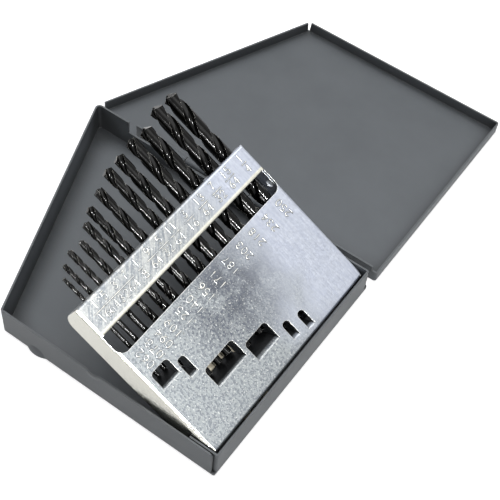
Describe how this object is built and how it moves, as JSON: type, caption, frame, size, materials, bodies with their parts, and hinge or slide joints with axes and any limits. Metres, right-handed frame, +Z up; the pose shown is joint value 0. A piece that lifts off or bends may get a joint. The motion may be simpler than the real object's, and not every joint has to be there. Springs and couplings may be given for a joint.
{
  "type": "drill bit case",
  "caption": "Skewed sheet-steel case with a hinged lid, a tilting galvanized rack with stamped size numbers, and black fractional twist drills.",
  "frame": {"origin": "middle of the tray's underside, halfway along its hinge side and halfway between its front wall and its hinge wall", "axes": "+X along the hinge towards the end where the rack pivots, +Y from the front wall over the hinge to the open lid, +Z up from the table"},
  "size_m": [0.1433, 0.213, 0.0577],
  "materials": {
    "case_paint": "satin grey paint on pressed steel",
    "galvanized": "galvanized steel with a fine spangle",
    "spring_steel": "plated spring steel",
    "black_oxide": "glossy black oxide on ground steel",
    "pin_steel": "plain steel wire and rivets"
  },
  "bodies": {
    "case": {"base_tray": "case_paint", "hinge_pin": "pin_steel", "rack_pivot_front": "pin_steel", "rack_pivot_rear": "pin_steel", "rack_spring": "spring_steel", "spring_rivet": "pin_steel"},
    "lid": {"lid": "case_paint"},
    "rack": {"rack": "galvanized"},
    "drill_1_16": {"drill_1_16": "black_oxide"},
    "drill_5_64": {"drill_5_64": "black_oxide"},
    "drill_3_32": {"drill_3_32": "black_oxide"},
    "drill_7_64": {"drill_7_64": "black_oxide"},
    "drill_1_8": {"drill_1_8": "black_oxide"},
    "drill_9_64": {"drill_9_64": "black_oxide"},
    "drill_5_32": {"drill_5_32": "black_oxide"},
    "drill_11_64": {"drill_11_64": "black_oxide"},
    "drill_3_16": {"drill_3_16": "black_oxide"},
    "drill_13_64": {"drill_13_64": "black_oxide"},
    "drill_7_32": {"drill_7_32": "black_oxide"},
    "drill_15_64": {"drill_15_64": "black_oxide"},
    "drill_1_4": {"drill_1_4": "black_oxide"}
  },
  "joints": [
    {"name": "lid_hinge", "type": "hinge", "parent": "case", "child": "lid", "pos_m": [0, 0.0537, 0.0081], "axis": [-1, 0, 0], "range_deg": [-180, 0]},
    {"name": "rack_pivot", "type": "hinge", "parent": "case", "child": "rack", "pos_m": [0.06375, -0.0007, 0.01005], "axis": [0, 1, 0], "range_deg": [-28.2, 0], "deforming": ["rack_spring"]},
    {"name": "drill_1_16_slide", "type": "slide", "parent": "rack", "child": "drill_1_16", "axis": [-0.8813, 0, 0.4726], "range_m": [0, 0.03524]},
    {"name": "drill_5_64_slide", "type": "slide", "parent": "rack", "child": "drill_5_64", "axis": [-0.8813, 0, 0.4726], "range_m": [0, 0.03524]},
    {"name": "drill_3_32_slide", "type": "slide", "parent": "rack", "child": "drill_3_32", "axis": [-0.8813, 0, 0.4726], "range_m": [0, 0.03922]},
    {"name": "drill_7_64_slide", "type": "slide", "parent": "rack", "child": "drill_7_64", "axis": [-0.8813, 0, 0.4726], "range_m": [0, 0.049]},
    {"name": "drill_1_8_slide", "type": "slide", "parent": "rack", "child": "drill_1_8", "axis": [-0.8813, 0, 0.4726], "range_m": [0, 0.04888]},
    {"name": "drill_9_64_slide", "type": "slide", "parent": "rack", "child": "drill_9_64", "axis": [-0.8813, 0, 0.4726], "range_m": [0, 0.04888]},
    {"name": "drill_5_32_slide", "type": "slide", "parent": "rack", "child": "drill_5_32", "axis": [-0.8813, 0, 0.4726], "range_m": [0, 0.05276]},
    {"name": "drill_11_64_slide", "type": "slide", "parent": "rack", "child": "drill_11_64", "axis": [-0.8813, 0, 0.4726], "range_m": [0, 0.05276]},
    {"name": "drill_3_16_slide", "type": "slide", "parent": "rack", "child": "drill_3_16", "axis": [-0.8813, 0, 0.4726], "range_m": [0, 0.05831]},
    {"name": "drill_13_64_slide", "type": "slide", "parent": "rack", "child": "drill_13_64", "axis": [-0.8813, 0, 0.4726], "range_m": [0, 0.06001]},
    {"name": "drill_7_32_slide", "type": "slide", "parent": "rack", "child": "drill_7_32", "axis": [-0.8813, 0, 0.4726], "range_m": [0, 0.06373]},
    {"name": "drill_15_64_slide", "type": "slide", "parent": "rack", "child": "drill_15_64", "axis": [-0.8813, 0, 0.4726], "range_m": [0, 0.06365]},
    {"name": "drill_1_4_slide", "type": "slide", "parent": "rack", "child": "drill_1_4", "axis": [-0.8813, 0, 0.4726], "range_m": [0, 0.067]}
  ],
  "couplings": [
    {"joint": "rack_pivot", "follows": "lid_hinge", "ratio": 0.15667}
  ]
}
